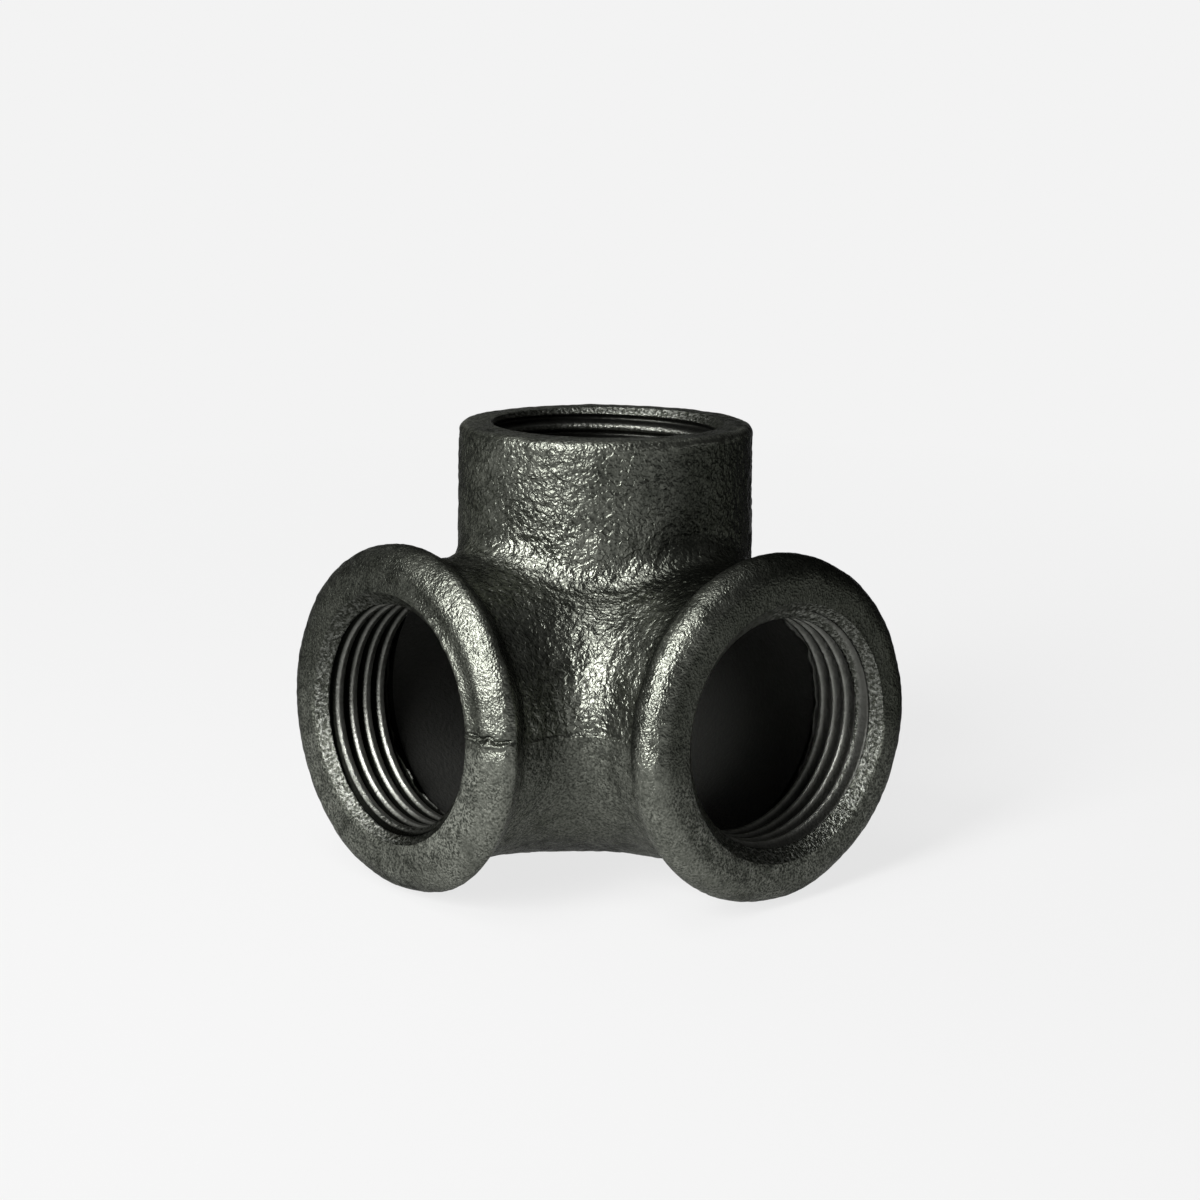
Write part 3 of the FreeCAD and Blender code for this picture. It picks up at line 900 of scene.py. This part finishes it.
FLOOR_RADIUS = 3000     # millimetres
FLOOR_EDGES = 64
PALE = 0.896            # what the photo's background is, in linear light
SETTLED = 0.15          # the floor lies this far under the smooth form, for the relief
SHADED = 0.15           # share of real shading on the floor near the fitting, for its shadow
SHADED_TO = (0.05, 0.25)    # metres from the fitting between which that share fades out
up = floor_normal()
side = unit(np.cross(up, [0, 0, 1]))
turn = np.linspace(0, 2 * np.pi, FLOOR_EDGES + 1)[:-1][:, None, None]
far = np.array([0.001, 50, 200, 800, FLOOR_RADIUS])[None, :, None]
floor_points = -up * (HEEL + SETTLED) + far * (np.cos(turn) * side
                                               + np.sin(turn) * np.cross(up, side))
floor_mesh = bpy.data.meshes.new("floor")
floor_mesh.from_pydata((floor_points * MM).reshape(-1, 3), [],
                       quads(FLOOR_EDGES, far.size, True)[:, ::-1].tolist())
floor = bpy.data.objects.new("floor", floor_mesh)
bpy.context.scene.collection.objects.link(floor)
print("the floor leans by, degrees:", round(np.degrees(np.arccos(up[2])), 2))

# %% The floor's finish: white to the camera and in reflections, with a soft shadow
material, tree = new_material("pale_floor")
path = add_node(tree, "ShaderNodeLightPath")
seen = combined(tree, "MAXIMUM", path.outputs["Is Camera Ray"], path.outputs["Is Glossy Ray"])
seen = combined(tree, "MAXIMUM", seen, path.outputs["Is Transmission Ray"])
away = add_node(tree, "ShaderNodeVectorMath", {
    0: add_node(tree, "ShaderNodeTexCoord").outputs["Object"]}, operation="LENGTH")
plain = combined(tree, "MULTIPLY", seen,
                 spread(tree, away.outputs["Value"], *SHADED_TO, 1 - SHADED, 1.0))
matt_floor = add_node(tree, "ShaderNodeBsdfDiffuse", {"Color": linear("#e6e6e6")})
glow = add_node(tree, "ShaderNodeEmission", {"Color": grey(PALE), "Strength": 1.0})
blend = add_node(tree, "ShaderNodeMixShader", {0: plain, 1: matt_floor.outputs[0],
                                               2: glow.outputs[0]})
add_node(tree, "ShaderNodeOutputMaterial", {"Surface": blend.outputs[0]})
floor.data.materials.append(material)

# %% World
DIM = 0.08              # linear light of the room above
HORIZON = (-0.03, 0.06)     # heights between which pale turns to dim
world = bpy.data.worlds.new("room")
bpy.context.scene.world = world
world.use_nodes = True
tree = world.node_tree
tree.nodes.clear()
direction = add_node(tree, "ShaderNodeTexCoord").outputs["Generated"]
height = add_node(tree, "ShaderNodeSeparateXYZ", {"Vector": direction}).outputs["Z"]
colour = mixed(tree, spread(tree, height, *HORIZON), grey(PALE), grey(DIM))
background = add_node(tree, "ShaderNodeBackground", {"Color": colour, "Strength": 1.0})
add_node(tree, "ShaderNodeOutputWorld", {"Surface": background.outputs[0]})


# %% Lamps
def softbox(name, azimuth, elevation, distance, width, height, power):
    """A soft lamp that faces the fitting.

    Azimuth runs from -Y towards +X, in degrees. Lengths are in metres and the power in watts.
    """
    lamp = bpy.data.lights.new(name, "AREA")
    lamp.shape, lamp.size, lamp.size_y, lamp.energy = "RECTANGLE", width, height, power
    obj = bpy.data.objects.new(name, lamp)
    bpy.context.scene.collection.objects.link(obj)
    azimuth, elevation = np.radians(azimuth), np.radians(elevation)
    towards = Vector((np.sin(azimuth) * np.cos(elevation), -np.cos(azimuth) * np.cos(elevation),
                      np.sin(elevation)))
    obj.matrix_world = (Matrix.Translation(towards * distance)
                        @ towards.to_track_quat("Z", "Y").to_matrix().to_4x4())
    print("lamp", name, "at, m:", [round(part, 2) for part in towards * distance])


softbox("key", 10, 28, 0.8, 0.26, 0.60, 11)
softbox("fill", -85, 30, 0.8, 0.5, 0.5, 0.8)
softbox("top", 5, 68, 0.9, 0.35, 0.35, 1.9)
bpy.context.scene.view_settings.view_transform = "Standard"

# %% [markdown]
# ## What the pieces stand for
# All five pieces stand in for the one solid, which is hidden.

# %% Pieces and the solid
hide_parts("corner_fitting")
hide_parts("corner_fitting")
for thread in threads.values():
    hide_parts("corner_fitting")

# %% The view layer brought up to date
bpy.context.view_layer.update()
